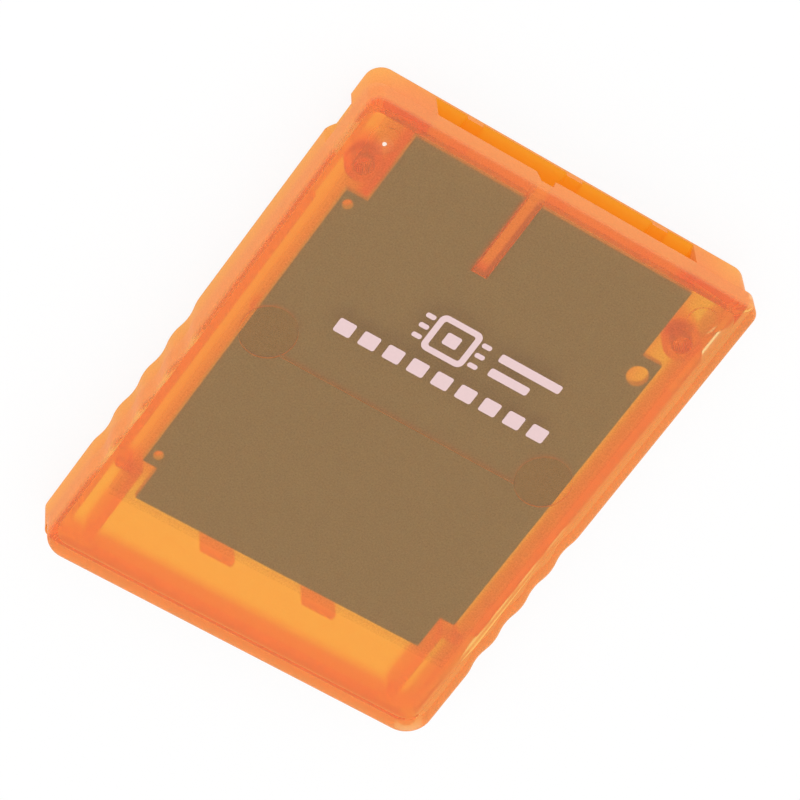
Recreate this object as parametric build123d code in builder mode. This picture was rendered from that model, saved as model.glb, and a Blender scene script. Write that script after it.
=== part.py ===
from build123d import *
import os

os.makedirs("parts", exist_ok=True)

# Card lying flat: +X across, +Y towards the connector end, +Z up through the label face.
# Every size is in millimetres.

# Overall card
card_width = 41.5
card_length = 55.0
card_height = 6.6
parting_height = 4.0

# Walls and fits of the two shells
top_wall = 1.3
floor_wall = 0.8
skirt_wall = 1.0
rim_wall = 0.9
front_wall = 1.9
fit_gap = 0.1
rim_height = 0.8
panel_depth = 0.08
panel_side_margin = 1.2
panel_rear_margin = 0.25
panel_corner_radius = 1.0
side_rim_length = 31.0
rear_rim_length = 31.0
lower_side_inset = 0.45
lower_rear_inset = 0.05

# Rounded edges and corners
rear_corner_radius = 2.6
front_corner_radius = 1.25
lower_front_corner_radius = 1.7
lower_rear_corner_radius = 1.0
top_edge_radius = 0.45
bottom_edge_radius = 0.5
cavity_corner_radius = 1.2

# Wavy thumb grip on both long sides
grip_valleys = 4
grip_pitch = 4.55
grip_depth = 0.28
grip_middle_from_centre = -9.8

# Detent notch on both long sides of the lower shell
detent_from_front = 7.1
detent_length = 2.3
detent_depth = 0.7
detent_ramp = 1.6

# Connector mouth in the front of the lower shell
mouth_width = 27.8
mouth_depth = 10.9
mouth_wall = 1.1
rail_width = 1.7
rail_height = 0.6
rail_shares_of_mouth = (-0.35, 0.032, 0.367)

# Key notch in the lip, over the key slit in the board
key_offset = -2.45
key_width = 2.0
key_top_width = 1.3
key_slit_width = 1.8
key_slit_length = 8.5
liner_gap = 0.05
liner_wall = 0.2

# Circuit board
board_thickness = 0.8
board_clearance_above = 0.2
board_front_gap = 0.35
board_length = 44.3
board_width = 34.0
board_front_width = 29.6
board_front_step = 7.6
board_rear_width = 30.9
board_rear_step = 3.7
tooling_hole_radius = 1.05
tooling_hole_from_edge = 1.3
tooling_hole_from_step = 2.0
datum_hole_radius = 0.5
datum_hole_from_edge = 0.9
datum_hole_from_step = 1.2

# Pegs of the upper shell in bosses of the lower shell
peg_radius = 0.9
peg_length = 2.6
peg_from_side = 3.65
peg_from_front = 7.0
boss_radius = 1.75
mould_mark_radius = 1.35
mould_mark_depth = 0.35
mould_mark_from_front = 3.9
gate_radius = 0.8
gate_depth = 0.3

# Board seats
pad_radius = 2.7
pad_from_board_edge = 2.1
seat_from_board_middle = -1.1
rest_radius = 1.1
rest_from_board_edge = 1.5
ridge_from_seats = -1.45
ridge_width = 0.25
ridge_height = 0.1
shelf_inset = 0.3
shelf_depth = 1.2
stop_width = 3.4
stop_thickness = 0.7
stop_place = 5.55
stop_gap = 1.3
corner_wall = 0.8
corner_wall_place = 16.2
corner_wall_length = 9.0

# Contact pads on the underside of the board
pad_width = 1.6
pad_length = 6.4
pad_thickness = 0.05
pad_front_gap = 0.6
pad_shares_of_mouth = (-0.44, -0.273, -0.187, 0.112, 0.198, 0.284, 0.446)

# Thin flat memory package, its place measured from the middle of the board
chip_length = 18.4
chip_width = 12.0
chip_thickness = 1.0
chip_standoff = 0.1
chip_place = (0.0, -12.1)
lead_count = 24
lead_pitch = 0.5
lead_width = 0.22
lead_thickness = 0.15
lead_reach = 0.8
lead_foot = 0.5

# Epoxy dome over the controller, its place measured from the middle of the board
glob_radius = 4.8
glob_height = 1.3
glob_place = (-7.0, 3.4)

# Chip capacitors and resistors, in rows from the middle and columns from the right edge of the board
passive_length = 1.6
passive_width = 0.8
capacitor_height = 0.8
resistor_height = 0.45
terminal_length = 0.35
terminal_skin = 0.03
passive_columns = (14.0, 11.0, 8.0, 5.0)
capacitor_row = 8.4
resistor_row = 4.4

# Worked out from the sizes above
half_width = card_width / 2
front_y = card_length / 2
rear_y = -card_length / 2
ceiling_height = card_height - top_wall
panel_height = ceiling_height + panel_depth
side_wall = skirt_wall + fit_gap + rim_wall
cavity_half_width = half_width - side_wall
cavity_rear_y = rear_y + side_wall
cavity_front_y = front_y - front_wall
board_top = ceiling_height - board_clearance_above
board_bottom = board_top - board_thickness
board_front_y = cavity_front_y - board_front_gap
board_rear_y = board_front_y - board_length
board_middle_y = (board_front_y + board_rear_y) / 2
board_front_step_y = board_front_y - board_front_step
board_rear_step_y = board_rear_y + board_rear_step
lower_half_width = half_width - lower_side_inset
lower_rear_y = rear_y + lower_rear_inset
mouth_rear_y = front_y - mouth_depth
peg_x = half_width - peg_from_side
peg_y = front_y - peg_from_front
mould_mark_y = front_y - mould_mark_from_front
pad_x = board_width / 2 - pad_from_board_edge
rest_x = board_width / 2 - rest_from_board_edge
seat_y = board_middle_y + seat_from_board_middle
boss_top = ceiling_height - fit_gap
rim_top = parting_height + rim_height


def half_outline(side, front, rear):
    """Right half of the plan outline: front edge, wavy side made of tangent arcs, rear edge."""
    quarter = grip_pitch / 4
    grip_start = grip_middle_from_centre + grip_valleys * grip_pitch / 2
    grip_end = grip_middle_from_centre - grip_valleys * grip_pitch / 2
    middle = side - grip_depth / 2
    Polyline((0, front), (side, front), (side, grip_start))
    TangentArc((side, grip_start), (middle, grip_start - quarter), tangent=(0, -1))
    for number in range(grip_valleys):
        valley_y = grip_start - (number + 0.5) * grip_pitch
        ThreePointArc((middle, valley_y + quarter), (side - grip_depth, valley_y), (middle, valley_y - quarter))
        if number < grip_valleys - 1:
            peak_y = valley_y - grip_pitch / 2
            ThreePointArc((middle, peak_y + quarter), (side, peak_y), (middle, peak_y - quarter))
    TangentArc((side, grip_end), (middle, grip_end + quarter), tangent=(0, 1))
    Polyline((side, grip_end), (side, rear), (0, rear))


def end_corners(plan, end):
    """The two outermost corner points of a plan at its front (-1) or rear (0) edge."""
    corners = plan.vertices().group_by(Axis.Y)[end].sort_by(Axis.X)
    return [corners[0], corners[-1]]


# Upper shell: lid with a short skirt, a lip over the mouth and the pegs
with BuildPart() as upper_shell:
    with BuildSketch(Plane.XY.offset(parting_height)) as upper_plan:
        with BuildLine():
            half_outline(half_width, front_y, rear_y)
            mirror(about=Plane.YZ)
        make_face()
        fillet(end_corners(upper_plan, -1), front_corner_radius)
        fillet(end_corners(upper_plan, 0), rear_corner_radius)
    extrude(amount=card_height - parting_height)
    fillet(upper_shell.faces().sort_by(Axis.Z)[-1].edges(), top_edge_radius)
    with BuildSketch(Plane.XY.offset(parting_height)) as upper_cavity:
        with Locations((0, (cavity_front_y + rear_y + skirt_wall) / 2)):
            Rectangle(card_width - 2 * skirt_wall, cavity_front_y - rear_y - skirt_wall)
        fillet(end_corners(upper_cavity, -1), cavity_corner_radius)
        fillet(end_corners(upper_cavity, 0), rear_corner_radius - skirt_wall)
    extrude(amount=ceiling_height - parting_height, mode=Mode.SUBTRACT)
    # Shallow panel in the ceiling over the board, up to the lip
    panel_half_width = board_width / 2 + panel_side_margin
    panel_rear_y = board_rear_y - panel_rear_margin
    with BuildSketch(Plane.XY.offset(ceiling_height)) as panel:
        with Locations((0, (cavity_front_y + panel_rear_y) / 2)):
            Rectangle(2 * panel_half_width, cavity_front_y - panel_rear_y)
        fillet(end_corners(panel, 0), panel_corner_radius)
    extrude(amount=panel_depth, mode=Mode.SUBTRACT)
    # Key notch through the lip
    with BuildSketch(Plane.XZ.offset(-front_y)):
        with BuildLine():
            Polyline(
                (key_offset - key_width / 2, parting_height),
                (key_offset - key_top_width / 2, ceiling_height),
                (key_offset + key_top_width / 2, ceiling_height),
                (key_offset + key_width / 2, parting_height),
                close=True,
            )
        make_face()
    extrude(amount=front_wall, mode=Mode.SUBTRACT)
    # Thin wall that lines the key slit of the board, open towards the notch
    liner_width = key_slit_width - 2 * liner_gap
    liner_length = board_front_gap + key_slit_length - liner_gap
    with BuildSketch(Plane.XY.offset(panel_height)):
        with Locations((key_offset, cavity_front_y - liner_length / 2)):
            Rectangle(liner_width, liner_length)
        with Locations((key_offset, cavity_front_y - (liner_length - liner_wall) / 2)):
            Rectangle(liner_width - 2 * liner_wall, liner_length - liner_wall, mode=Mode.SUBTRACT)
    extrude(amount=board_bottom - panel_height)
    # Pegs, the pads that hold the board down and the low ridge between them
    with BuildSketch(Plane.XY.offset(panel_height)):
        with Locations((-peg_x, peg_y), (peg_x, peg_y)):
            Circle(peg_radius)
    extrude(amount=-panel_depth - peg_length)
    with BuildSketch(Plane.XY.offset(panel_height)):
        with Locations((-pad_x, seat_y), (pad_x, seat_y)):
            Circle(pad_radius)
    extrude(amount=board_top - panel_height)
    with BuildSketch(Plane.XY.offset(panel_height)):
        with Locations((0, seat_y + ridge_from_seats)):
            Rectangle(2 * pad_x, ridge_width)
    extrude(amount=-panel_depth - ridge_height)
    # Round mould marks in the ceiling and the gate dimple in the top
    with BuildSketch(Plane.XY.offset(ceiling_height)):
        with Locations((-peg_x, mould_mark_y), (peg_x, mould_mark_y)):
            Circle(mould_mark_radius)
    extrude(amount=mould_mark_depth, mode=Mode.SUBTRACT)
    with Locations((-peg_x, mould_mark_y, card_height - gate_depth / 2)):
        Cone(0, gate_radius, gate_depth, mode=Mode.SUBTRACT)
upper_shell.part.label = "upper_shell"
export_step(upper_shell.part, "parts/upper_shell.step")

# Lower shell: tray with the connector mouth, board seats, bosses and locating rims
with BuildPart() as lower_shell:
    with BuildSketch() as lower_plan:
        with BuildLine():
            half_outline(lower_half_width, front_y, lower_rear_y)
            mirror(about=Plane.YZ)
        make_face()
        fillet(end_corners(lower_plan, -1), lower_front_corner_radius)
        fillet(end_corners(lower_plan, 0), lower_rear_corner_radius)
    extrude(amount=parting_height)
    fillet(lower_shell.faces().sort_by(Axis.Z)[0].edges(), bottom_edge_radius)
    with BuildSketch(Plane.XY.offset(floor_wall)) as lower_cavity:
        with Locations((0, (cavity_front_y + cavity_rear_y) / 2)):
            Rectangle(2 * cavity_half_width, cavity_front_y - cavity_rear_y)
        fillet(lower_cavity.vertices(), cavity_corner_radius)
    extrude(amount=parting_height - floor_wall, mode=Mode.SUBTRACT)
    # Detent notches with a ramp at both ends
    detent_y = front_y - detent_from_front
    detent_x = lower_half_width - detent_depth
    with BuildSketch():
        with BuildLine():
            Polyline(
                (half_width, detent_y - detent_ramp),
                (detent_x, detent_y),
                (detent_x, detent_y + detent_length),
                (half_width, detent_y + detent_length + detent_ramp),
                close=True,
            )
        make_face()
        mirror(about=Plane.YZ)
    extrude(amount=parting_height, mode=Mode.SUBTRACT)
    # Walls round the mouth, up to the underside of the board
    mouth_middle_y = (mouth_rear_y - mouth_wall + cavity_front_y) / 2
    with BuildSketch(Plane.XY.offset(floor_wall)):
        with Locations((0, mouth_middle_y)):
            Rectangle(mouth_width + 2 * mouth_wall, cavity_front_y - mouth_rear_y + mouth_wall)
    extrude(amount=board_bottom - floor_wall)
    with BuildSketch(Plane.XY.offset(floor_wall)):
        with Locations((0, (front_y + mouth_rear_y) / 2)):
            Rectangle(mouth_width, mouth_depth)
    extrude(amount=board_bottom - floor_wall, mode=Mode.SUBTRACT)
    # Guide rails on the floor of the mouth
    with BuildSketch(Plane.XY.offset(floor_wall)):
        with Locations([(share * mouth_width, (front_y + mouth_rear_y) / 2) for share in rail_shares_of_mouth]):
            Rectangle(rail_width, mouth_depth)
    extrude(amount=rail_height)
    # Bosses that take the pegs
    with BuildSketch(Plane.XY.offset(floor_wall)):
        with Locations((-peg_x, peg_y), (peg_x, peg_y)):
            Circle(boss_radius)
    extrude(amount=boss_top - floor_wall)
    with BuildSketch(Plane.XY.offset(boss_top)):
        with Locations((-peg_x, peg_y), (peg_x, peg_y)):
            Circle(peg_radius + fit_gap)
    extrude(amount=-peg_length, mode=Mode.SUBTRACT)
    # Round rests under the hold-down pads and shelves under the rear edge of the board
    shelf_y = board_rear_y + shelf_inset + shelf_depth / 2
    with BuildSketch(Plane.XY.offset(floor_wall)):
        with Locations((-rest_x, seat_y), (rest_x, seat_y)):
            Circle(rest_radius)
        with Locations((-stop_place, shelf_y), (stop_place, shelf_y)):
            Rectangle(stop_width, shelf_depth)
    extrude(amount=board_bottom - floor_wall)
    # Stops behind the board and the walls that box off the rear corners
    stop_y = board_rear_y - stop_gap - stop_thickness / 2
    with BuildSketch(Plane.XY.offset(floor_wall)):
        with Locations((-stop_place, stop_y), (stop_place, stop_y)):
            Rectangle(stop_width, stop_thickness)
        for side in (-1, 1):
            with Locations((side * (corner_wall_place + corner_wall / 2), cavity_rear_y + corner_wall_length / 2)):
                Rectangle(corner_wall, corner_wall_length)
            with Locations(
                (
                    side * (corner_wall_place + cavity_half_width) / 2,
                    cavity_rear_y + corner_wall_length - corner_wall / 2,
                )
            ):
                Rectangle(cavity_half_width - corner_wall_place, corner_wall)
    extrude(amount=rim_top - floor_wall)
    # Rims that stand inside the skirt of the lid
    with BuildSketch(Plane.XY.offset(parting_height)):
        for side in (-1, 1):
            with Locations((side * (cavity_half_width + rim_wall / 2), 0)):
                Rectangle(rim_wall, side_rim_length)
        with Locations((0, cavity_rear_y - rim_wall / 2)):
            Rectangle(rear_rim_length, rim_wall)
    extrude(amount=rim_height)
lower_shell.part.label = "lower_shell"
export_step(lower_shell.part, "parts/lower_shell.step")

# Circuit board: wide middle, narrower ends, key slit and tooling holes
with BuildPart() as circuit_board:
    with BuildSketch(Plane.XY.offset(board_bottom)):
        with BuildLine():
            Polyline(
                (0, board_front_y),
                (board_front_width / 2, board_front_y),
                (board_front_width / 2, board_front_step_y),
                (board_width / 2, board_front_step_y),
                (board_width / 2, board_rear_step_y),
                (board_rear_width / 2, board_rear_step_y),
                (board_rear_width / 2, board_rear_y),
                (0, board_rear_y),
            )
            mirror(about=Plane.YZ)
        make_face()
        with Locations((key_offset, board_front_y - key_slit_length / 2)):
            Rectangle(key_slit_width, key_slit_length, mode=Mode.SUBTRACT)
        with Locations((board_width / 2 - tooling_hole_from_edge, board_front_step_y - tooling_hole_from_step)):
            Circle(tooling_hole_radius, mode=Mode.SUBTRACT)
        with Locations(
            (-board_width / 2 + datum_hole_from_edge, board_front_step_y - datum_hole_from_step),
            (-board_width / 2 + datum_hole_from_edge, board_rear_step_y + datum_hole_from_step),
        ):
            Circle(datum_hole_radius, mode=Mode.SUBTRACT)
    extrude(amount=board_thickness)
circuit_board.part.label = "circuit_board"
export_step(circuit_board.part, "parts/circuit_board.step")

# Contact pads: thin plated fingers over the mouth
pad_y = board_front_y - pad_front_gap - pad_length / 2
for number, share in enumerate(pad_shares_of_mouth, start=1):
    with BuildPart() as contact_pad:
        with BuildSketch(Plane.XY.offset(board_bottom)):
            with Locations((share * mouth_width, pad_y)):
                Rectangle(pad_width, pad_length)
        extrude(amount=-pad_thickness)
    contact_pad.part.label = f"contact_pad_{number}"
    export_step(contact_pad.part, f"parts/contact_pad_{number}.step")

# Memory package under the board
chip_top = board_bottom - chip_standoff
chip_y = board_middle_y + chip_place[1]
with BuildPart() as flash_chip:
    with BuildSketch(Plane(origin=(chip_place[0], chip_y, chip_top))):
        Rectangle(chip_length, chip_width)
    extrude(amount=-chip_thickness)
    chamfer(flash_chip.edges().filter_by(Axis.Z), lead_thickness)
flash_chip.part.label = "flash_chip"
export_step(flash_chip.part, "parts/flash_chip.step")

# Gull-wing leads on both short ends of the package
lead_root_z = chip_top - chip_thickness / 2
lead_span = (lead_count - 1) * lead_pitch
lead_places = [chip_y - lead_span / 2 + number * lead_pitch for number in range(lead_count)]
with BuildPart() as flash_chip_leads:
    with BuildSketch(*[Plane.XZ.offset(-lead_y - lead_width / 2) for lead_y in lead_places]):
        with BuildLine():
            root_x = chip_length / 2
            knee_x = root_x + lead_reach - lead_foot
            tip_x = root_x + lead_reach
            Polyline(
                (root_x, lead_root_z),
                (knee_x, lead_root_z),
                (knee_x, board_bottom - lead_thickness),
                (tip_x, board_bottom - lead_thickness),
                (tip_x, board_bottom),
                (knee_x - lead_thickness, board_bottom),
                (knee_x - lead_thickness, lead_root_z + lead_thickness),
                (root_x, lead_root_z + lead_thickness),
                close=True,
            )
        make_face()
        mirror(about=Plane.YZ)
    extrude(amount=lead_width)
flash_chip_leads.part.label = "flash_chip_leads"
export_step(flash_chip_leads.part, "parts/flash_chip_leads.step")

# Epoxy dome over the controller die: a cap of a large sphere
glob_y = board_middle_y + glob_place[1]
glob_sphere_radius = (glob_radius**2 + glob_height**2) / (2 * glob_height)
with BuildPart() as controller_glob:
    with BuildSketch(Plane(origin=(glob_place[0], glob_y, board_bottom), x_dir=(1, 0, 0), z_dir=(0, -1, 0))):
        with BuildLine():
            Polyline((0, -glob_height), (0, 0), (glob_radius, 0))
            RadiusArc((glob_radius, 0), (0, -glob_height), glob_sphere_radius)
        make_face()
    revolve(axis=Axis((glob_place[0], glob_y, 0), (0, 0, 1)))
controller_glob.part.label = "controller_glob"
export_step(controller_glob.part, "parts/controller_glob.step")


def chip_passive(name, column, row, height):
    """Makes one ceramic chip with slightly larger metal ends, hung under the board."""
    end_x = (passive_length - terminal_length) / 2
    under_board = Plane(origin=(board_width / 2 - column, board_middle_y + row, board_bottom))
    with BuildPart() as passive:
        with BuildSketch(under_board.offset(-terminal_skin)):
            Rectangle(passive_length - terminal_length, passive_width - 2 * terminal_skin)
        extrude(amount=-height + 2 * terminal_skin)
        with BuildSketch(under_board):
            with Locations((-end_x, 0), (end_x, 0)):
                Rectangle(terminal_length, passive_width)
        extrude(amount=-height)
    passive.part.label = name
    export_step(passive.part, f"parts/{name}.step")


# Chip capacitors and chip resistors beside the controller
for number, column in enumerate(passive_columns, start=1):
    chip_passive(f"capacitor_{number}", column, capacitor_row, capacitor_height)
    chip_passive(f"resistor_{number}", column, resistor_row, resistor_height)
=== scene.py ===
import bpy
import numpy as np
from bpy.props import FloatProperty, FloatVectorProperty, PointerProperty
from mathutils import Matrix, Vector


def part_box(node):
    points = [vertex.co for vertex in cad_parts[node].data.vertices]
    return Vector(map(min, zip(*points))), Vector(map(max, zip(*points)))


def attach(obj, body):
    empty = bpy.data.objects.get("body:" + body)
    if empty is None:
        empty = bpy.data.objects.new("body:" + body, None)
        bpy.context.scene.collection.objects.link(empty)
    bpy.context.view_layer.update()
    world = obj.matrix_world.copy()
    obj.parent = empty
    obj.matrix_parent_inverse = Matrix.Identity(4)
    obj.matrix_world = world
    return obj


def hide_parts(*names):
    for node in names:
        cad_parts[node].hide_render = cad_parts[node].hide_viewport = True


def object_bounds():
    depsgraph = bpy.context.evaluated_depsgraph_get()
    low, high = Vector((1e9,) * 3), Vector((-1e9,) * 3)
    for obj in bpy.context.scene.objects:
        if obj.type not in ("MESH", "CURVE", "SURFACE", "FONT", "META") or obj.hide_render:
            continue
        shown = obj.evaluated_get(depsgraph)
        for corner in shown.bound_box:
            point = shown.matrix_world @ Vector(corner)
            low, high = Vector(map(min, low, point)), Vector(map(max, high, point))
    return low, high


bl_info = {
    "name": "Console memory card",
    "version": (1, 0, 0),
    "blender": (4, 5, 0),
    "location": "3D View > Sidebar > Card",
    "description": "Dresses the see-through memory card on its packed frame",
    "category": "Object",
}

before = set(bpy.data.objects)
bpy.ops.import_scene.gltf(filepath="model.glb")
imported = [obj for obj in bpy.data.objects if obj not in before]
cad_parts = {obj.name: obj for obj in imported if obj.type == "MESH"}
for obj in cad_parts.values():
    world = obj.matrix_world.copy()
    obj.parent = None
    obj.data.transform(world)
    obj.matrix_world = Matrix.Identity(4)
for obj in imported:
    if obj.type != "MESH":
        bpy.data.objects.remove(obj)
cad_box = [list(corner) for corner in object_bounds()]

BODY = "root"
MM = 0.001

# Points of a solid that agree to this length are one, and nothing is divided by less than the other
WELD = 1e-7
TINY = 1e-18

# Edges that turn by more than this stay crisp on the mouldings
CRISP = np.radians(32)

# Mesh attributes that the plastic reads
HAZE = "haze"
# The second attribute places a painted glint, a near-white highlight painted at the gate's cone
PAINTED_GLINT = "pale"

# Air between the board and the ceiling, and the textured panel that is sunk into the ceiling there
BOARD_GAP = 0.2 * MM
PANEL_DEPTH = 0.08 * MM
PANEL_MARGIN = 1.2 * MM
PANEL_REAR_MARGIN = 0.2 * MM
PANEL_EDGE = 0.05 * MM

# Height of the seam between the shells, and how deep in the box a face is still an outer one
PARTING = 4.0 * MM
SKIN = 0.75 * MM

# Slack for finding faces and points by their place
SEAM_SLACK = 0.05 * MM
SLACK = 0.1 * MM

# Point of the gate's cone in the lid, where the painted glint sits
GATE = np.array([-17.1, 23.6, 6.3]) * MM

# Length of a small chip's tinned end, and air under the printed film
CHIP_END = 0.35 * MM
PRINT_GAP = 0.002 * MM

# Half the floor's side, the blur of the painted shade under the board, and the soft lamp's side, place and
# turn
FLOOR_HALF = 0.6
SHADE_EDGE = 2.0 * MM
LAMP_SIDE = 0.35
LAMP_PLACE = (-0.15, 0.25, 0.45)
LAMP_TURN = tuple(np.radians((-29, -18, 0)))

# Plain colours
WHITE = (1.0, 1.0, 1.0, 1.0)
BLACK = (0.0, 0.0, 0.0, 1.0)
FLOOR_GREY = (0.9, 0.9, 0.9, 1.0)
# Near-white colour of the painted glint at the gate's cone, a painted highlight
GLINT_TINT = (1.0, 0.95, 0.88, 1.0)


class ShellSettings(bpy.types.PropertyGroup):
    """The tinted plastic of the two shells."""

    inset: FloatProperty(
        name="Seam inset",
        description="How far each shell stands back, so that seated faces keep a hairline of air",
        default=0.02 * MM,
        precision=6,
        unit="LENGTH",
    )
    upper_tint: FloatVectorProperty(
        name="Upper tint",
        description="Colour that the two skins of an upper wall let through",
        default=(1.0, 1.0, 0.9),
        min=0.0,
        max=1.0,
        subtype="COLOR",
    )
    lower_tint: FloatVectorProperty(
        name="Lower tint",
        description="Colour that the two skins of a lower wall let through",
        default=(1.0, 0.64, 0.07),
        min=0.0,
        max=1.0,
        subtype="COLOR",
    )
    depth_tint: FloatVectorProperty(
        name="Depth tint",
        description="Colour that the light keeps as it goes deeper",
        default=(1.0, 0.80, 0.30),
        min=0.0,
        max=1.0,
        subtype="COLOR",
    )
    depth: FloatProperty(
        name="Depth",
        description="How much of the rest is lost to each metre of plastic",
        default=1000.0,
    )
    haze_tint: FloatVectorProperty(
        name="Haze tint",
        description="Colour of the light that the plastic scatters",
        default=(1.0, 0.59, 0.31),
        min=0.0,
        max=1.0,
        subtype="COLOR",
    )
    side_tint: FloatVectorProperty(
        name="Side tint",
        description="The same colour on outer sides and ribs",
        default=(1.0, 0.44, 0.16),
        min=0.0,
        max=1.0,
        subtype="COLOR",
    )
    skin_haze: FloatProperty(
        name="Skin haze",
        description="Share of light that the top skin scatters",
        default=0.195,
        min=0.0,
        max=1.0,
        subtype="FACTOR",
    )
    inner_haze: FloatProperty(
        name="Inner haze",
        description="The same share for the underside and for faces inside the card",
        default=0.04,
        min=0.0,
        max=1.0,
        subtype="FACTOR",
    )
    seat_haze: FloatProperty(
        name="Seat haze",
        description="The same share for the pads that press on the board",
        default=0.12,
        min=0.0,
        max=1.0,
        subtype="FACTOR",
    )
    side_haze: FloatProperty(
        name="Side haze",
        description="The same share for outer sides and for thin ribs over the board",
        default=0.7,
        min=0.0,
        max=1.0,
        subtype="FACTOR",
    )
    speckle: FloatProperty(
        name="Speckle",
        description="How much darker the dots of the textured panel are",
        default=0.3,
        min=0.0,
        max=1.0,
        subtype="FACTOR",
    )
    onwards: FloatProperty(
        name="Onwards",
        description="How much of the scattered light goes into the plastic, the rest going out to the air",
        default=0.2,
        min=0.0,
        max=1.0,
        subtype="FACTOR",
    )
    skin_roughness: FloatProperty(
        name="Skin roughness",
        description="Softness of the top skin, outer sides and ribs",
        default=0.1,
        min=0.0,
        max=1.0,
        subtype="FACTOR",
    )
    upper_roughness: FloatProperty(
        name="Upper roughness",
        description="Softness of the faces inside the upper shell",
        default=0.35,
        min=0.0,
        max=1.0,
        subtype="FACTOR",
    )
    lower_roughness: FloatProperty(
        name="Lower roughness",
        description="Softness of the underside and of the faces inside the lower shell",
        default=0.4,
        min=0.0,
        max=1.0,
        subtype="FACTOR",
    )


class BoardSettings(bpy.types.PropertyGroup):
    """The circuit board and the plated contacts."""

    mask: FloatVectorProperty(
        name="Solder mask",
        description="Colour of the lacquer on both faces of the board",
        default=(0.155, 0.235, 0.48),
        min=0.0,
        max=1.0,
        subtype="COLOR",
    )
    edge: FloatVectorProperty(
        name="Cut edge",
        description="Colour of the bare glass and resin at the cut edges",
        default=(0.92, 0.86, 0.55),
        min=0.0,
        max=1.0,
        subtype="COLOR",
    )
    plating: FloatVectorProperty(
        name="Plating",
        description="Colour of the contact fingers",
        default=(0.86, 0.62, 0.26),
        min=0.0,
        max=1.0,
        subtype="COLOR",
    )


class ChipSettings(bpy.types.PropertyGroup):
    """The parts soldered under the board."""

    epoxy: FloatVectorProperty(
        name="Epoxy",
        description="Colour of the moulded package, the dome and the chip resistors",
        default=(0.02, 0.02, 0.022),
        min=0.0,
        max=1.0,
        subtype="COLOR",
    )
    ceramic: FloatVectorProperty(
        name="Ceramic",
        description="Colour of the chip capacitors",
        default=(0.45, 0.30, 0.18),
        min=0.0,
        max=1.0,
        subtype="COLOR",
    )
    tin: FloatVectorProperty(
        name="Tin",
        description="Colour of leads and soldered ends",
        default=(0.78, 0.78, 0.76),
        min=0.0,
        max=1.0,
        subtype="COLOR",
    )


class PrintSettings(bpy.types.PropertyGroup):
    """The marks printed on the upper face."""

    ink: FloatVectorProperty(
        name="Ink",
        description="Colour of the printed marks",
        default=(0.74, 0.54, 0.54),
        min=0.0,
        max=1.0,
        subtype="COLOR",
    )
    film: FloatProperty(
        name="Film",
        description="Thickness of the printed film",
        default=0.010 * MM,
        precision=6,
        unit="LENGTH",
    )


class StageSettings(bpy.types.PropertyGroup):
    """The camera, the light and the floor."""

    camera_place: FloatVectorProperty(
        name="Camera place",
        description="Where the camera stands",
        default=(-144.69 * MM, 177.24 * MM, 368.42 * MM),
        subtype="TRANSLATION",
        unit="LENGTH",
    )
    camera_turn: FloatVectorProperty(
        name="Camera turn",
        description="How far the camera is turned about X, Y and Z",
        default=tuple(np.radians((-31.794, -3.299, 34.096))),
        subtype="EULER",
        unit="ROTATION",
    )
    lens: FloatProperty(
        name="Lens",
        description="Focal length in millimetres on a sensor 36 millimetres wide",
        default=215.1,
        unit="CAMERA",
    )
    sky: FloatProperty(
        name="Sky",
        description="Strength of the even light from all round",
        default=1.05,
    )
    lamp: FloatProperty(
        name="Lamp",
        description="Power of the large soft lamp",
        default=0.35,
        subtype="POWER",
    )
    floor_lift: FloatProperty(
        name="Floor lift",
        description="Share of the floor's brightness that shadow doesn't reach",
        default=0.88,
        min=0.0,
        max=1.0,
        subtype="FACTOR",
    )
    floor_lift_through: FloatProperty(
        name="Floor lift through plastic",
        description="The same share for the floor as the plastic and reflections see it",
        default=0.98,
        min=0.0,
        max=1.0,
        subtype="FACTOR",
    )
    # Painted shade: warm orange painted on the floor under the board, in place of its shadow and of
    # plastic-tinted light
    painted_board_shade: FloatVectorProperty(
        name="Board shade",
        description="Colour of the floor under the board, where light comes through the plastic",
        default=(0.97, 0.45, 0.22),
        min=0.0,
        max=1.0,
        subtype="COLOR",
    )


def settings():
    """The scene's settings for this card."""
    return bpy.context.scene.memory_card


def nodes_named(start):
    """Names of the frame's solids that begin with these words."""
    return [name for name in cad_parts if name.startswith(start)]


def box_of(node):
    """Lowest and highest corner of a solid, as arrays."""
    return [np.array(corner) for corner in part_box(node)]


def put_mesh(name, points, faces):
    """A mesh object of these points and faces, at the origin."""
    mesh = bpy.data.meshes.new(name)
    mesh.from_pydata(points.tolist(), [], [list(face) for face in faces])
    mesh.update()
    piece = bpy.data.objects.new(name, mesh)
    bpy.context.collection.objects.link(piece)
    return piece


def dress(nodes, finish):
    """Gives solids of the frame one finish."""
    for node in nodes:
        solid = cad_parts[node]
        solid.data.materials.clear()
        solid.data.materials.append(finish)


# Finishes


def empty_tree(owner, kind):
    """The node tree of a material or a world with nothing in it but an output."""
    owner.use_nodes = True
    tree = owner.node_tree
    tree.nodes.clear()
    return tree, tree.nodes.new(kind)


def new_finish(name):
    """A material with an empty tree but for its output and one surface shader."""
    finish = bpy.data.materials.new(name)
    tree, output = empty_tree(finish, "ShaderNodeOutputMaterial")
    shader = tree.nodes.new("ShaderNodeBsdfPrincipled")
    tree.links.new(shader.outputs["BSDF"], output.inputs["Surface"])
    return finish, tree, shader, output


def add_node(tree, kind, inputs=(), **choices):
    """A node with its choices set and its inputs given as pairs of socket and value or link."""
    node = tree.nodes.new(kind)
    for name, value in choices.items():
        setattr(node, name, value)
    for socket, value in inputs:
        if isinstance(value, bpy.types.NodeSocket):
            tree.links.new(value, node.inputs[socket])
        else:
            node.inputs[socket].default_value = value
    return node


def maths(tree, operation, *values, kind="ShaderNodeMath"):
    """The result of an operation on one or two values."""
    return add_node(tree, kind, enumerate(values), operation=operation).outputs[0]


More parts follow.
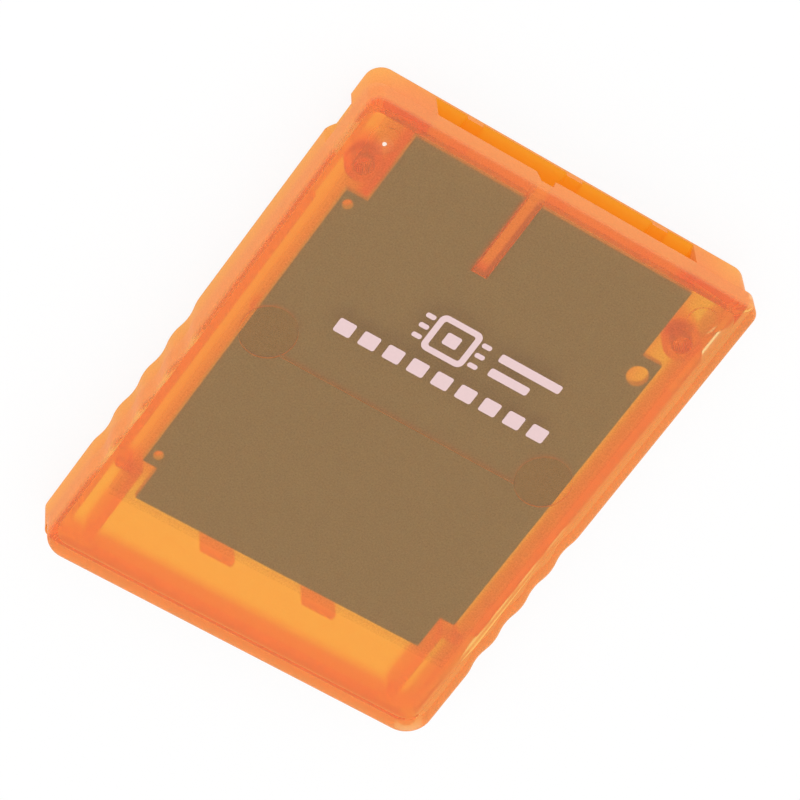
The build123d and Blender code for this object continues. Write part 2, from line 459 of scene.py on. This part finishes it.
def span(tree, value, start, end, low, high, **choices):
    """Carries a value from the range between start and end to that between low and high."""
    ends = [("From Min", start), ("From Max", end), ("To Min", low), ("To Max", high)]
    return add_node(tree, "ShaderNodeMapRange", [("Value", value)] + ends, **choices).outputs["Result"]


def blend(tree, share, one, other):
    """Colour between one and other by a share from 0 to 1."""
    inputs = [(0, share), (6, one), (7, other)]
    return add_node(tree, "ShaderNodeMix", inputs, data_type="RGBA").outputs[2]


def mixed(tree, share, one, other):
    """Surface between one and other by a share from 0 to 1."""
    return add_node(tree, "ShaderNodeMixShader", [(0, share), (1, one), (2, other)]).outputs[0]


def own_place(tree):
    """The card's own coordinates."""
    return add_node(tree, "ShaderNodeTexCoord").outputs["Object"]


def grain(tree, cells, detail=3.0):
    """Noise on the card's own coordinates, with that many cells to a metre."""
    inputs = [("Vector", own_place(tree)), ("Scale", cells), ("Detail", detail)]
    return add_node(tree, "ShaderNodeTexNoise", inputs).outputs["Fac"]


def spread(tree, value, low=0.0, high=1.0):
    """Maps the middle of a noise value's range to the range between low and high."""
    return span(tree, value, 0.3, 0.7, low, high)


def opaque(colour, share=1.0):
    """A colour times a share, with full alpha."""
    return tuple(share * part for part in colour) + (1.0,)


def mottled(tree, noise, colour, dark, light=1.0):
    """A colour that noise moves between a dark and a light share of itself."""
    return blend(tree, spread(tree, noise), opaque(colour, dark), opaque(colour, light))


def paint(tree, shader, colour, roughness):
    """Links a colour and a roughness to a shader."""
    tree.links.new(colour, shader.inputs["Base Color"])
    tree.links.new(roughness, shader.inputs["Roughness"])


def bump(tree, shader, height, distance):
    """Gives a shader small relief from a height value."""
    inputs = [("Height", height), ("Distance", distance), ("Strength", 0.5)]
    relief = add_node(tree, "ShaderNodeBump", inputs)
    tree.links.new(relief.outputs["Normal"], shader.inputs["Normal"])


def over_plan(tree, low, high, soft, inside, outside):
    """One value inside a rectangle of the plan and another outside it, with a soft edge.

    The distance past the edge is the larger of |x - middle| - half and |y - middle| - half.
    """
    vector = "ShaderNodeVectorMath"
    off = maths(tree, "SUBTRACT", own_place(tree), (low + high) / 2, kind=vector)
    size = maths(tree, "ABSOLUTE", off, kind=vector)
    past = maths(tree, "SUBTRACT", size, (high - low) / 2, kind=vector)
    axes = add_node(tree, "ShaderNodeSeparateXYZ", [("Vector", past)]).outputs
    outer = maths(tree, "MAXIMUM", axes["X"], axes["Y"])
    return span(tree, outer, -soft, soft, inside, outside, interpolation_type="SMOOTHSTEP")


# Shells


def welded(node, inset):
    """Points and triangles of a node with equal points joined and moved inwards.

    Points that agree to a tenth of a micron become one. A point's normal is the sum of its
    triangles' unit normals, each times the triangle's angle there, and the point moves
    against that normal by the inset.
    """
    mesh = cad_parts[node].data
    points = np.empty(len(mesh.vertices) * 3)
    mesh.vertices.foreach_get("co", points)
    corners = np.empty(len(mesh.loops), dtype=int)
    mesh.loops.foreach_get("vertex_index", corners)
    points = points.reshape(-1, 3)
    _, first, place = np.unique(
        np.round(points / WELD), axis=0, return_index=True, return_inverse=True
    )
    points = points[first]
    faces = place.ravel()[corners].reshape(-1, 3)
    whole = (faces != np.roll(faces, 1, axis=1)).all(axis=1)
    faces = faces[whole]
    corner = points[faces]
    ahead = np.roll(corner, -1, axis=1) - corner
    behind = np.roll(corner, 1, axis=1) - corner
    cross = np.cross(ahead, behind)
    size = np.linalg.norm(cross, axis=2)
    angle = np.arctan2(size, (ahead * behind).sum(axis=2))
    unit = cross / np.maximum(size, TINY)[..., None]
    normal = np.zeros_like(points)
    np.add.at(normal, faces.ravel(), (unit * angle[..., None]).reshape(-1, 3))
    normal /= np.linalg.norm(normal, axis=1, keepdims=True)
    return points - inset * normal, faces


def face_lie(points, faces):
    """The middle of each triangle and the upward part of its unit normal."""
    corner = points[faces]
    normal = np.cross(corner[:, 1] - corner[:, 0], corner[:, 2] - corner[:, 0])
    upward = normal[:, 2] / np.maximum(np.linalg.norm(normal, axis=1), TINY)
    return corner.mean(axis=1), upward


def face_haze(node, points, faces):
    """The share of light that each face of a shell scatters, by which way it looks and where it lies.

    The upward part u of a face's normal is 1 or -1 on a level face and 0 on an upright one. An
    outer face scatters u * u of the skin's share and the rest of the side's. The underside of the
    lid's skirt counts as a side, and that of the card as an inner face. Ribs are upright faces
    between the board and the ceiling panel, the panel's own edge among them, and pads look down
    on the board.
    """
    shell = settings().shell
    level_face, sloping_face = 0.9, 0.5
    middle, upward = face_lie(points, faces)
    height = middle[:, 2]
    low, high = box_of(node)
    low[2], high[2] = cad_box[0][2], cad_box[1][2]
    outer = ((middle < low + SKIN) | (middle > high - SKIN)).any(axis=1)
    outer &= (node == "upper_shell") | (height < PARTING)
    skirt = (upward < -level_face) & (abs(height - PARTING) < SEAM_SLACK)
    level = np.where(skirt, 0, upward**2)
    skin = np.where(upward > 0, shell.skin_haze, shell.inner_haze)
    share = np.where(outer, skin * level + shell.side_haze * (1 - level), shell.inner_haze)
    low, high = box_of("circuit_board")
    low[:2] -= PANEL_MARGIN + SLACK
    high += (PANEL_MARGIN + SLACK, PANEL_MARGIN, BOARD_GAP + PANEL_DEPTH)
    between = ((middle > low) & (middle < high)).all(axis=1)
    share[between & (abs(upward) < sloping_face)] = shell.side_haze
    share[between & (upward < -sloping_face) & (height < high[2] - BOARD_GAP)] = shell.seat_haze
    return share.astype(np.float32)


def glint_at_gate(points):
    """1 at the point of the gate's cone in the lid and 0 at every other point of a shell, which places the
    painted glint.
    """
    return (np.linalg.norm(points - GATE, axis=1) < SLACK).astype(np.float32)


def clear_part(tree, shader, tint, roughness, speckle, haze):
    """Sets a shader to the see-through part of the plastic.

    A coarse grain shifts the tint a little, and speckle darkens fine dots over the ceiling panel,
    which spans the board and a margin. Faces take the roughness where they have least haze and
    that of the skin where they have as much as the skin or more.
    """
    shell = settings().shell
    deeper = (tint[0], tint[1] * 0.95, tint[2] * 0.92)
    uneven = spread(tree, grain(tree, cells=900.0))
    plain = blend(tree, uneven, opaque(deeper), opaque(tint))
    low, high = box_of("circuit_board")
    low -= (PANEL_MARGIN, PANEL_REAR_MARGIN, 0)
    high += (PANEL_MARGIN, PANEL_MARGIN, 0)
    panel = over_plan(tree, low, high, PANEL_EDGE, speckle, 0.0)
    dots = spread(tree, grain(tree, cells=6500.0, detail=2.0))
    colour = blend(tree, maths(tree, "MULTIPLY", panel, dots), plain, BLACK)
    soft = span(tree, haze, shell.inner_haze, shell.skin_haze, roughness, shell.skin_roughness)
    worn = spread(tree, grain(tree, cells=5000.0), 0.9, 1.1)
    paint(tree, shader, colour, maths(tree, "MULTIPLY", soft, worn))
    shader.inputs["IOR"].default_value = 1.12
    shader.inputs["Transmission Weight"].default_value = 1.0
    shader.inputs["Coat Weight"].default_value = 0.1
    shader.inputs["Coat Roughness"].default_value = 0.08


def scattered_part(tree, haze, pale):
    """The surface of the light that the plastic scatters.

    The haze sends most of its share out to the air, as chalk does, and the rest into the plastic,
    from whichever side it is seen. Dense haze takes the tint of the sides, and a painted glint, a
    near-white painted highlight, sits at the gate's cone.
    """
    shell = settings().shell
    dense = span(tree, haze, shell.skin_haze, shell.side_haze, 0.0, 1.0)
    colour = blend(tree, dense, opaque(shell.haze_tint), opaque(shell.side_tint))
    # Painted highlight: the near-white glint colour is laid over the scattered colour at the gate's cone
    colour = blend(tree, pale, colour, GLINT_TINT)
    back = add_node(tree, "ShaderNodeBsdfDiffuse", [("Color", colour)]).outputs[0]
    onwards = add_node(tree, "ShaderNodeBsdfTranslucent", [("Color", colour)]).outputs[0]
    within = add_node(tree, "ShaderNodeNewGeometry").outputs["Backfacing"]
    passed = span(tree, within, 0.0, 1.0, shell.onwards, 1 - shell.onwards)
    return mixed(tree, passed, back, onwards)


def plastic_finish(name, tint, roughness, speckle):
    """Tinted see-through plastic that scatters a share of the light at each skin.

    The mesh holds the share of each face, which a fine grain makes uneven, and the place of a painted
    glint at the gate's cone, a near-white painted highlight that scatters all the light. Light in the
    plastic loses more as it goes deeper.
    """
    shell = settings().shell
    finish, tree, shader, output = new_finish(name)
    haze = add_node(tree, "ShaderNodeAttribute", attribute_name=HAZE).outputs["Fac"]
    # Painted highlight: the glint attribute is 1 at the gate cone's point and fades into a near-white dot
    gate = add_node(tree, "ShaderNodeAttribute", attribute_name=PAINTED_GLINT).outputs["Fac"]
    pale = span(tree, gate, 0.05, 0.4, 0.0, 1.0)
    clear_part(tree, shader, tint, roughness, speckle, haze)
    uneven = spread(tree, grain(tree, cells=6500.0, detail=4.0), 0.93, 1.07)
    share = maths(tree, "MAXIMUM", maths(tree, "MULTIPLY", haze, uneven), pale)
    surface = mixed(tree, share, shader.outputs["BSDF"], scattered_part(tree, haze, pale))
    tree.links.new(surface, output.inputs["Surface"])
    inputs = [("Color", opaque(shell.depth_tint)), ("Density", shell.depth)]
    deep = add_node(tree, "ShaderNodeVolumeAbsorption", inputs)
    tree.links.new(deep.outputs["Volume"], output.inputs["Volume"])
    return finish


def mould(node, finish):
    """Makes one shell as a smooth moulding in place of its solid."""
    points, faces = welded(node, settings().shell.inset)
    piece = put_mesh(f"{node}_moulding", points, faces)
    piece.data.polygons.foreach_set("use_smooth", np.ones(len(faces), dtype=bool))
    piece.data.set_sharp_from_angle(angle=CRISP)
    even = piece.modifiers.new("Even shading", "WEIGHTED_NORMAL")
    even.keep_sharp = True
    piece.data.materials.append(finish)
    haze = piece.data.attributes.new(HAZE, "FLOAT", "FACE")
    haze.data.foreach_set("value", face_haze(node, points, faces))
    # Marks the point where the painted glint, a painted highlight, is laid
    pale = piece.data.attributes.new(PAINTED_GLINT, "FLOAT", "POINT")
    pale.data.foreach_set("value", glint_at_gate(points))
    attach(piece, BODY)
    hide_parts(node)


class CARD_OT_shells(bpy.types.Operator):
    """Makes the two shells as smooth clear mouldings in place of their solids"""

    bl_idname = "card.shells"
    bl_label = "Mould shells"

    def execute(self, context):
        shell = settings().shell
        upper = plastic_finish("upper_plastic", shell.upper_tint, shell.upper_roughness, shell.speckle)
        lower = plastic_finish("lower_plastic", shell.lower_tint, shell.lower_roughness, 0.0)
        mould("upper_shell", upper)
        mould("lower_shell", lower)
        return {"FINISHED"}


# Board and contacts


def metal_finish(name, colour, cells, dark, smooth, rough):
    """Bright plating that is slightly uneven in colour and gloss."""
    finish, tree, shader, _ = new_finish(name)
    wear = grain(tree, cells)
    paint(tree, shader, mottled(tree, wear, colour, dark), spread(tree, wear, smooth, rough))
    shader.inputs["Metallic"].default_value = 1.0
    return finish


class CARD_OT_board(bpy.types.Operator):
    """Lacquers the board and leaves its cut edges bare"""

    bl_idname = "card.board"
    bl_label = "Finish board"

    def execute(self, context):
        board = settings().board
        finish, tree, shader, _ = new_finish("lacquered_board")
        normal = add_node(tree, "ShaderNodeNewGeometry").outputs["Normal"]
        upward = add_node(tree, "ShaderNodeSeparateXYZ", [("Vector", normal)]).outputs["Z"]
        flat = maths(tree, "GREATER_THAN", maths(tree, "ABSOLUTE", upward), 0.5)
        fibre = grain(tree, cells=7000.0)
        mask = mottled(tree, fibre, board.mask, dark=0.8, light=1.2)
        cut = mottled(tree, fibre, board.edge, dark=0.85)
        paint(tree, shader, blend(tree, flat, cut, mask), spread(tree, fibre, 0.32, 0.5))
        bump(tree, shader, fibre, 0.02 * MM)
        dress(["circuit_board"], finish)
        return {"FINISHED"}


class CARD_OT_contacts(bpy.types.Operator):
    """Plates the contact fingers"""

    bl_idname = "card.contacts"
    bl_label = "Plate contacts"

    def execute(self, context):
        plating = settings().board.plating
        finish = metal_finish("contact_plating", plating, cells=3000.0, dark=0.9, smooth=0.18, rough=0.34)
        dress(nodes_named("contact_pad"), finish)
        return {"FINISHED"}


# Parts under the board


def epoxy_finish(name, colour, smooth, rough):
    """Dark filled resin with a fine grain."""
    finish, tree, shader, _ = new_finish(name)
    speck = grain(tree, cells=6000.0, detail=4.0)
    colour = mottled(tree, speck, colour, dark=0.8, light=1.5)
    paint(tree, shader, colour, spread(tree, speck, smooth, rough))
    bump(tree, shader, speck, 0.01 * MM)
    return finish


def chip_finish(name, colour):
    """Ceramic between two tinned ends.

    The chips stand a fixed pitch apart along X, so the distance from a chip's middle is the
    rest of X over that pitch, and the ends are where it passes half the ceramic's length.
    """
    first, second = nodes_named("capacitor")[:2]
    low, high = box_of(first)
    after, _ = box_of(second)
    pitch = float(after[0] - low[0])
    start = float(low[0] + high[0] - pitch) / 2
    ceramic = float(high[0] - low[0]) / 2 - CHIP_END
    finish, tree, shader, _ = new_finish(name)
    along = add_node(tree, "ShaderNodeSeparateXYZ", [("Vector", own_place(tree))]).outputs["X"]
    rest = maths(tree, "MODULO", maths(tree, "SUBTRACT", along, start), pitch)
    off = maths(tree, "ABSOLUTE", maths(tree, "SUBTRACT", rest, pitch / 2))
    end = maths(tree, "GREATER_THAN", off, ceramic)
    speck = grain(tree, cells=7000.0)
    body = mottled(tree, speck, colour, dark=0.85, light=1.1)
    colour = blend(tree, end, body, opaque(settings().chips.tin))
    paint(tree, shader, colour, spread(tree, speck, 0.3, 0.48))
    tree.links.new(end, shader.inputs["Metallic"])
    return finish


class CARD_OT_chips(bpy.types.Operator):
    """Finishes the package, its leads, the dome and the small chips under the board"""

    bl_idname = "card.chips"
    bl_label = "Finish chips"

    def execute(self, context):
        chips = settings().chips
        leads = metal_finish("tinned_leads", chips.tin, cells=4000.0, dark=0.88, smooth=0.25, rough=0.4)
        dress(["flash_chip"], epoxy_finish("moulded_epoxy", chips.epoxy, smooth=0.45, rough=0.62))
        dress(["controller_glob"], epoxy_finish("poured_epoxy", chips.epoxy, smooth=0.22, rough=0.38))
        dress(["flash_chip_leads"], leads)
        dress(nodes_named("capacitor"), chip_finish("capacitor_ceramic", chips.ceramic))
        dress(nodes_named("resistor"), chip_finish("resistor_glaze", chips.epoxy))
        return {"FINISHED"}


# Printed marks


def rounded_outline(width, height, radius, steps=8):
    """Closed outline of a rectangle with round corners, as an array of x and y.

    Each corner is a quarter circle of the radius about a point that far in from both sides,
    and the four quarters follow each other anticlockwise.
    """
    quarter = np.linspace(0, np.pi / 2, steps)
    turn = (np.arange(4)[:, None] * np.pi / 2 + quarter).ravel()
    reach = np.array([[1, 1], [-1, 1], [-1, -1], [1, -1]]).repeat(steps, axis=0)
    middle = reach * (np.array([width, height]) / 2 - radius)
    return middle + radius * np.stack([np.cos(turn), np.sin(turn)], axis=1)


def mark(x, y, width, height, radius=0.22):
    """Outline of one mark by its middle, size and corner radius in millimetres."""
    return rounded_outline(width * MM, height * MM, radius * MM) + np.array([x, y]) * MM


def print_outlines():
    """Outlines of the printed marks: a ring has an inner and an outer one, a bar only one.

    The marks are a chip with three legs a side, two bars beside it and a row of equal blocks,
    and each is a middle and a size in millimetres.
    """
    chip = (-1.0, 10.4)
    leg_reach, leg_pitch = 3.0, 1.15
    row_start, row_pitch, row_place = -9.8, 2.6, 6.5
    ring = [mark(*chip, 3.3, 2.9, radius=0.25), mark(*chip, 4.5, 4.1, radius=0.7)]
    core = [mark(*chip, 1.5, 1.3, radius=0.2)]
    legs = [
        (chip[0] + side * leg_reach, chip[1] + row * leg_pitch, 1.0, 0.5)
        for side in (-1, 1)
        for row in (-1, 0, 1)
    ]
    bars = [(6.9, 11.3, 6.6, 0.9), (5.7, 9.6, 4.2, 0.9)]
    blocks = [(row_start + step * row_pitch, row_place, 1.75, 1.5) for step in range(9)]
    return [ring, core] + [[mark(*bar)] for bar in legs + bars + blocks]


def on_level(outline, height):
    """An outline of the plan set at a height."""
    return np.column_stack([outline, np.full(len(outline), height)])


def film_rows(rows, closed, start):
    """Points and faces of a surface whose rows are loops of equal length.

    Row r and place p share a quad with row r+1 and place p+1. A closed surface also joins its
    last row to its first, and an open one has its first and last row filled by one face each.
    The points are numbered from start.
    """
    count, around = rows.shape[:2]
    place = start + np.arange(count * around).reshape(count, around)
    after = np.roll(place, -1, axis=1)
    quads = np.stack([place, np.roll(place, -1, axis=0), np.roll(after, -1, axis=0), after], axis=2)
    faces = (quads if closed else quads[:-1]).reshape(-1, 4).tolist()
    if not closed:
        faces += [place[0].tolist(), place[-1, ::-1].tolist()]
    return rows.reshape(-1, 3), faces


def ink_finish(ink):
    """Matt ink with a faint grain."""
    finish, tree, shader, _ = new_finish("printed_ink")
    speck = grain(tree, cells=4000.0, detail=4.0)
    paint(tree, shader, mottled(tree, speck, ink, dark=0.96), spread(tree, speck, 0.4, 0.6))
    return finish


class CARD_OT_print(bpy.types.Operator):
    """Prints a plain pictogram and bars on the upper face"""

    bl_idname = "card.print"
    bl_label = "Print marks"

    def execute(self, context):
        marks = settings().print_marks
        _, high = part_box("upper_shell")
        low_z = float(high[2]) - settings().shell.inset + PRINT_GAP
        high_z = low_z + marks.film
        points, faces, count = [], [], 0
        for outlines in print_outlines():
            top = [on_level(outline, high_z) for outline in outlines]
            bottom = [on_level(outline, low_z) for outline in outlines[::-1]]
            own, sides = film_rows(np.stack(top + bottom), len(outlines) == 2, count)
            points.append(own)
            faces += sides
            count += len(own)
        piece = put_mesh("print_marks", np.concatenate(points), faces)
        piece.data.materials.append(ink_finish(marks.ink))
        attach(piece, BODY)
        return {"FINISHED"}


# Stage


def by_ray(tree, direct, later):
    """One value for a ray from the camera and another for every later ray."""
    rays = add_node(tree, "ShaderNodeLightPath").outputs
    return span(tree, rays["Is Camera Ray"], 0.0, 1.0, later, direct)


def seen_through(tree, value):
    """A value for glossy and transmission rays, and 0 for light that a matt face sends back."""
    rays = add_node(tree, "ShaderNodeLightPath").outputs
    seen = maths(tree, "MAXIMUM", rays["Is Glossy Ray"], rays["Is Transmission Ray"])
    return maths(tree, "MULTIPLY", seen, value)


def lay_floor(stage):
    """A white floor that keeps the card's shadow.

    A share of plain white stands in for the floor's own colour, one share for the camera and
    another for rays that come through plastic or off gloss. Those rays see a painted shade under
    the board, from its rear edge to the connector end: a warm orange patch painted on the floor
    in place of the board's shadow and of the light that the plastic tints.
    """
    corners = np.array([[-1, -1, 0], [1, -1, 0], [1, 1, 0], [-1, 1, 0]]) * FLOOR_HALF
    floor = put_mesh("floor", corners, [[0, 1, 2, 3]])
    finish = bpy.data.materials.new("white_floor")
    tree, output = empty_tree(finish, "ShaderNodeOutputMaterial")
    share = by_ray(tree, stage.floor_lift, seen_through(tree, stage.floor_lift_through))
    low, high = box_of("circuit_board")
    high[1] = cad_box[1][1]
    # Painted shade: under the board and the connector end the floor turns warm orange for all rays but the
    # camera's
    under = by_ray(tree, 0.0, over_plan(tree, low, high, SHADE_EDGE, 1.0, 0.0))
    colour = blend(tree, under, WHITE, opaque(stage.painted_board_shade))
    plain = add_node(tree, "ShaderNodeBsdfDiffuse", [("Color", FLOOR_GREY)]).outputs[0]
    lit = add_node(tree, "ShaderNodeEmission", [("Color", colour), ("Strength", 1.0)]).outputs[0]
    tree.links.new(mixed(tree, share, plain, lit), output.inputs["Surface"])
    floor.data.materials.append(finish)


def light_sky(scene, stage):
    """Even light from all round, which the camera itself sees as plain white."""
    sky = bpy.data.worlds.new("sky")
    tree, output = empty_tree(sky, "ShaderNodeOutputWorld")
    strength = by_ray(tree, 1.0, stage.sky)
    glow = add_node(tree, "ShaderNodeBackground", [("Color", WHITE), ("Strength", strength)])
    tree.links.new(glow.outputs[0], output.inputs["Surface"])
    scene.world = sky


def hang_lamp(scene, stage):
    """One large soft lamp, above and to the left of the connector end."""
    light = bpy.data.lights.new("soft_lamp", "AREA")
    light.shape = "SQUARE"
    light.size = LAMP_SIDE
    light.energy = stage.lamp
    lamp = bpy.data.objects.new("soft_lamp", light)
    lamp.location = LAMP_PLACE
    lamp.rotation_euler = LAMP_TURN
    scene.collection.objects.link(lamp)


def set_camera(scene, stage):
    """The camera at its place and turn."""
    lens = bpy.data.cameras.new("camera")
    lens.lens = stage.lens
    lens.sensor_width = 36.0
    lens.clip_start = 0.01
    camera = bpy.data.objects.new("camera", lens)
    camera.matrix_world = Matrix.LocRotScale(stage.camera_place, stage.camera_turn, None)
    scene.collection.objects.link(camera)
    scene.camera = camera


class CARD_OT_stage(bpy.types.Operator):
    """Sets the camera, the light and the floor"""

    bl_idname = "card.stage"
    bl_label = "Set stage"

    def execute(self, context):
        stage = settings().stage
        scene = context.scene
        scene.view_settings.view_transform = "Standard"
        scene.cycles.max_bounces = 24
        scene.cycles.diffuse_bounces = 12
        scene.cycles.glossy_bounces = 12
        scene.cycles.transmission_bounces = 24
        scene.cycles.transparent_max_bounces = 24
        set_camera(scene, stage)
        lay_floor(stage)
        light_sky(scene, stage)
        hang_lamp(scene, stage)
        return {"FINISHED"}


# Panel and registration


class CardSettings(bpy.types.PropertyGroup):
    """Everything that can be changed on the card and its stage."""

    shell: PointerProperty(type=ShellSettings, name="Shells")
    board: PointerProperty(type=BoardSettings, name="Board")
    chips: PointerProperty(type=ChipSettings, name="Chips")
    print_marks: PointerProperty(type=PrintSettings, name="Print")
    stage: PointerProperty(type=StageSettings, name="Stage")


OPERATORS = (
    CARD_OT_shells,
    CARD_OT_board,
    CARD_OT_contacts,
    CARD_OT_chips,
    CARD_OT_print,
    CARD_OT_stage,
)


class CARD_PT_panel(bpy.types.Panel):
    """Lists the card's pieces and their settings"""

    bl_idname = "CARD_PT_panel"
    bl_label = "Memory card"
    bl_space_type = "VIEW_3D"
    bl_region_type = "UI"
    bl_category = "Card"

    def draw(self, context):
        card = context.scene.memory_card
        for group in (card.shell, card.board, card.chips, card.print_marks, card.stage):
            for name in group.bl_rna.properties.keys():
                if name not in ("rna_type", "name"):
                    self.layout.prop(group, name)
        for operator in OPERATORS:
            self.layout.operator(operator.bl_idname)


CLASSES = (
    ShellSettings,
    BoardSettings,
    ChipSettings,
    PrintSettings,
    StageSettings,
    CardSettings,
    *OPERATORS,
    CARD_PT_panel,
)


def register():
    """Makes the classes and the scene's settings known to Blender."""
    for kind in CLASSES:
        bpy.utils.register_class(kind)
    bpy.types.Scene.memory_card = PointerProperty(type=CardSettings)


def unregister():
    """Takes the settings and the classes away again."""
    del bpy.types.Scene.memory_card
    for kind in reversed(CLASSES):
        bpy.utils.unregister_class(kind)


def main():
    """Builds the card and its stage."""
    register()
    bpy.ops.card.shells()
    bpy.ops.card.board()
    bpy.ops.card.contacts()
    bpy.ops.card.chips()
    bpy.ops.card.print()
    bpy.ops.card.stage()


if __name__ == "__main__":
    main()
